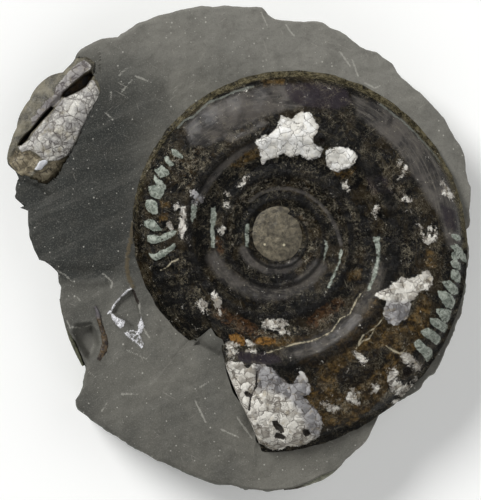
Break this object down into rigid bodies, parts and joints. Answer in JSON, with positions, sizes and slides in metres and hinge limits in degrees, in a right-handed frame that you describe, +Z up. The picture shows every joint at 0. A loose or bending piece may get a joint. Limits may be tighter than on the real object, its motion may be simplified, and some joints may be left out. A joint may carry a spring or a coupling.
{
  "type": "ammonite fossil",
  "caption": "Keeled coiled ammonite with its shell uppermost in a block of grey limestone, with shell fragments at the block's edge.",
  "frame": {"origin": "middle of the block's length and width, on the flat broken face that it rests on", "axes": "+Z up out of the resting face, towards the shell that shows; +Y along the block's longest side, the top of the view from above"},
  "size_m": [0.1633, 0.172, 0.0363],
  "materials": {
    "limestone": "matt grey, split and scratched",
    "shell": "dark brown fossil shell, polished by wear, with white calcite patches",
    "white_shell": "crackled white calcite and brown shell, satin",
    "edge_shell": "olive grey shell, satin",
    "hollow_shell": "brown broken shell edge, matt",
    "rim_shell": "pale grey green shell, satin"
  },
  "bodies": {
    "root": {"limestone_block": "limestone", "ammonite": "shell", "second_ammonite": "white_shell", "edge_shell": "edge_shell", "hollow_shell": "hollow_shell", "rim_shell": "rim_shell"}
  },
  "joints": []
}
